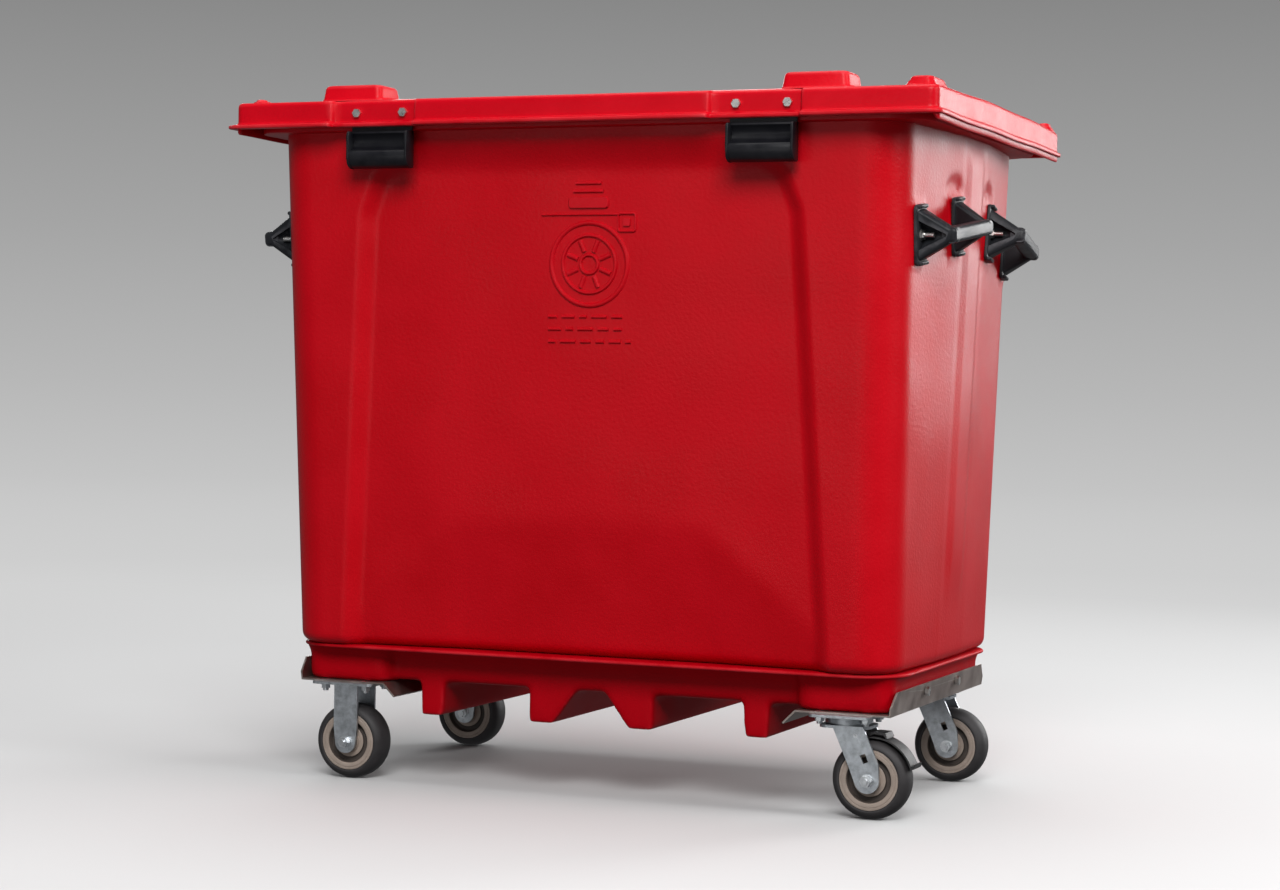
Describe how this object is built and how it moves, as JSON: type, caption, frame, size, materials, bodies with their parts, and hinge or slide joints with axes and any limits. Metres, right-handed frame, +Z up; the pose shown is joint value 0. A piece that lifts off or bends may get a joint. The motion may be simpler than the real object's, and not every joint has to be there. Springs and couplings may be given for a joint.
{
  "type": "medical waste cart",
  "caption": "Moulded red biohazard waste bin on casters, with a hinged lid, scooped lid grips, end push handles and fork pockets under its base.",
  "frame": {"origin": "on the floor, under the middle of the cart's bounding box", "axes": "+X along the length towards the swivel casters, +Y from the front with the lid grips to the hinged back, +Z up"},
  "size_m": [1.251, 0.833, 1.166],
  "materials": {
    "red_shell": "textured satin moulding",
    "black_grip": "satin moulding",
    "black_hinge": "satin moulding",
    "grey_handle": "fine-grained satin moulding",
    "stainless_sheet": "mill finish with bright cut edges",
    "stainless_hardware": "polished",
    "bearing_steel": "ground and greased",
    "zinc_steel": "bright zinc plate",
    "wheel_core": "satin moulding",
    "tyre": "non-marking rubber"
  },
  "bodies": {
    "cart": {"tub": "red_shell", "base": "red_shell", "caster_channel_left": "stainless_sheet", "caster_channel_right": "stainless_sheet", "channel_bolts": "stainless_hardware", "hinge_arm_left": "black_hinge", "hinge_arm_right": "black_hinge", "hinge_arm_bolts": "stainless_hardware", "handle_left_front": "grey_handle", "handle_left_back": "grey_handle", "handle_right_front": "grey_handle", "handle_right_back": "grey_handle", "handle_studs": "stainless_hardware", "rigid_fork_front": "zinc_steel", "rigid_fork_back": "zinc_steel", "rigid_axle_bolts": "zinc_steel", "rigid_axle_nuts": "zinc_steel", "rigid_wheel_bushings": "bearing_steel", "swivel_plate_front": "zinc_steel", "swivel_plate_back": "zinc_steel", "swivel_balls": "bearing_steel", "kingpins": "zinc_steel", "kingpin_nuts": "zinc_steel", "caster_bolts": "zinc_steel", "caster_nuts": "zinc_steel"},
    "lid": {"lid": "red_shell", "lid_grip_left": "black_grip", "lid_grip_right": "black_grip", "grip_bolts": "stainless_hardware", "hinge_strap_left": "black_hinge", "hinge_strap_right": "black_hinge", "strap_bolts": "stainless_hardware", "hinge_pins": "stainless_hardware"},
    "swivel_front": {"swivel_fork_front": "zinc_steel", "swivel_axle_bolt_front": "zinc_steel", "swivel_axle_nut_front": "zinc_steel", "swivel_wheel_bushing_front": "bearing_steel", "brake_pin": "zinc_steel"},
    "swivel_back": {"swivel_fork_back": "zinc_steel", "swivel_axle_bolt_back": "zinc_steel", "swivel_axle_nut_back": "zinc_steel", "swivel_wheel_bushing_back": "bearing_steel"},
    "brake": {"brake_lever": "zinc_steel"},
    "wheel_left_front": {"wheel_core_left_front": "wheel_core", "tyre_left_front": "tyre"},
    "wheel_left_back": {"wheel_core_left_back": "wheel_core", "tyre_left_back": "tyre"},
    "wheel_right_front": {"wheel_core_right_front": "wheel_core", "tyre_right_front": "tyre"},
    "wheel_right_back": {"wheel_core_right_back": "wheel_core", "tyre_right_back": "tyre"}
  },
  "joints": [
    {"name": "lid_hinge", "type": "hinge", "parent": "cart", "child": "lid", "pos_m": [0, 0.4055, 1.108], "axis": [-1, 0, 0], "range_deg": [0, 270]},
    {"name": "swivel_front_turn", "type": "hinge", "parent": "cart", "child": "swivel_front", "pos_m": [0.441, -0.2475, 0.147], "axis": [0, 0, 1], "continuous": true},
    {"name": "brake_press", "type": "hinge", "parent": "swivel_front", "child": "brake", "pos_m": [0.462, -0.2475, 0.133], "axis": [0, 1, 0], "range_deg": [0, 4]},
    {"name": "wheel_right_front_spin", "type": "hinge", "parent": "swivel_front", "child": "wheel_right_front", "pos_m": [0.4815, -0.2475, 0.0635], "axis": [0, 1, 0], "continuous": true},
    {"name": "wheel_left_front_spin", "type": "hinge", "parent": "cart", "child": "wheel_left_front", "pos_m": [-0.441, -0.2475, 0.0635], "axis": [0, 1, 0], "continuous": true},
    {"name": "swivel_back_turn", "type": "hinge", "parent": "cart", "child": "swivel_back", "pos_m": [0.441, 0.2105, 0.147], "axis": [0, 0, 1], "continuous": true},
    {"name": "wheel_right_back_spin", "type": "hinge", "parent": "swivel_back", "child": "wheel_right_back", "pos_m": [0.4815, 0.2105, 0.0635], "axis": [0, 1, 0], "continuous": true},
    {"name": "wheel_left_back_spin", "type": "hinge", "parent": "cart", "child": "wheel_left_back", "pos_m": [-0.441, 0.2105, 0.0635], "axis": [0, 1, 0], "continuous": true}
  ]
}
